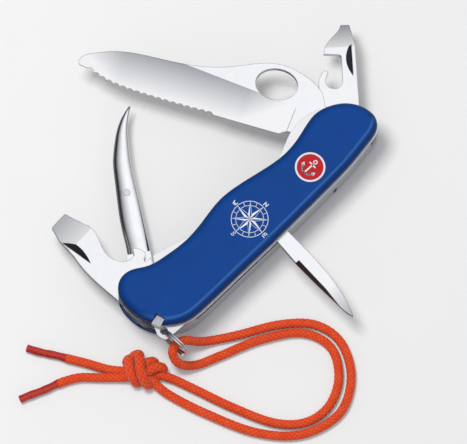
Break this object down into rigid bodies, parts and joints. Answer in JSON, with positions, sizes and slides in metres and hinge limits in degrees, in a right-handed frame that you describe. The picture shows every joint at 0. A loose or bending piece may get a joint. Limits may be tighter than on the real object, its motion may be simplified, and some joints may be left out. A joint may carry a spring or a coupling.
{
  "type": "rigging knife",
  "caption": "Folding sailor's knife with a one-hand serrated blade, openers, marlin spike and reamer between nylon scales, with a split ring and cord lanyard.",
  "frame": {"origin": "centre of the rear scale's flat outer face, at mid-handle", "axes": "+X from the ring end to the main blade's pivot end, +Y to the belly side where the tools leave the handle, +Z from the rear scale to the front scale"},
  "size_m": [0.1767, 0.1563, 0.0231],
  "materials": {
    "blue_nylon": "smooth moulded nylon, slightly glossy",
    "liner_steel": "fine brushed",
    "leaf_steel": "fine brushed",
    "spring_steel": "fine ground",
    "brass": "turned",
    "blade_steel": "satin ground with polished flats",
    "tool_steel": "polished",
    "polished_steel": "mirror polished",
    "ring_steel": "polished wire",
    "grey_nylon": "matt",
    "ivory_nylon": "matt",
    "orange_cord": "braided cord",
    "red_sleeve": "glossy shrink sleeve",
    "red_enamel": "enamel under clear gloss"
  },
  "bodies": {
    "handle": {"rear_scale": "blue_nylon", "front_scale": "blue_nylon", "rear_liner": "liner_steel", "divider_liner": "liner_steel", "spike_lock_liner": "liner_steel", "front_lock_liner": "liner_steel", "blade_spring": "spring_steel", "opener_spring": "spring_steel", "spike_spring": "spring_steel", "tail_spacer": "spring_steel", "head_spacer": "spring_steel", "head_pin": "brass", "middle_pin": "brass", "spring_pin": "brass", "tail_corner_pin": "brass", "tail_pivot_pin": "brass", "rear_bushes": "brass", "front_bushes": "brass", "badge": "red_enamel"},
    "blade": {"main_blade": "blade_steel"},
    "can": {"can_opener": "tool_steel"},
    "bottle": {"bottle_opener": "tool_steel"},
    "spike": {"marlin_spike": "polished_steel", "spike_button": "polished_steel"},
    "awl": {"reamer": "tool_steel"},
    "blade_lock": {"blade_lock_leaf": "leaf_steel"},
    "spike_lock": {"spike_lock_leaf": "leaf_steel"},
    "tweezer": {"tweezers": "spring_steel", "tweezers_head": "grey_nylon"},
    "pick": {"toothpick": "ivory_nylon"},
    "lanyard": {"split_ring": "ring_steel", "lanyard_cord": "orange_cord", "cord_sleeves": "red_sleeve"}
  },
  "joints": [
    {"name": "blade_open", "type": "hinge", "parent": "handle", "child": "blade", "pos_m": [0.0448, 0.0023, 0.01545], "axis": [0, 0, -1], "range_deg": [-58.8, 120.7]},
    {"name": "can_opener_open", "type": "hinge", "parent": "handle", "child": "can", "pos_m": [0.0448, 0.0023, 0.0122], "axis": [0, 0, -1], "range_deg": [-128.9, 51.1]},
    {"name": "bottle_opener_open", "type": "hinge", "parent": "handle", "child": "bottle", "pos_m": [-0.047, 0.005, 0.0122], "axis": [0, 0, 1], "range_deg": [-95, 85]},
    {"name": "spike_open", "type": "hinge", "parent": "handle", "child": "spike", "pos_m": [-0.047, 0.005, 0.0075], "axis": [0, 0, 1], "range_deg": [-58, 122]},
    {"name": "reamer_open", "type": "hinge", "parent": "handle", "child": "awl", "pos_m": [0.0028, -0.0092, 0.01545], "axis": [0, 0, 1], "range_deg": [-90, 0]},
    {"name": "blade_lock_press", "type": "hinge", "parent": "handle", "child": "blade_lock", "pos_m": [-0.008, 0.0076, 0.01735], "axis": [0, -1, 0], "range_deg": [0, 0.5]},
    {"name": "spike_lock_spring", "type": "hinge", "parent": "handle", "child": "spike_lock", "pos_m": [0, 0.005, 0.01035], "axis": [0, -1, 0], "range_deg": [0, 1.5]},
    {"name": "tweezers_out", "type": "slide", "parent": "handle", "child": "tweezer", "axis": [-0.9511, -0.309, 0], "range_m": [0, 0.044]},
    {"name": "toothpick_out", "type": "slide", "parent": "handle", "child": "pick", "axis": [-1, 0, 0], "range_m": [0, 0.048]},
    {"name": "ring_swing", "type": "hinge", "parent": "handle", "child": "lanyard", "pos_m": [-0.0512, -0.0092, 0.01735], "axis": [0, 0, 1], "range_deg": [-25, 8]}
  ]
}
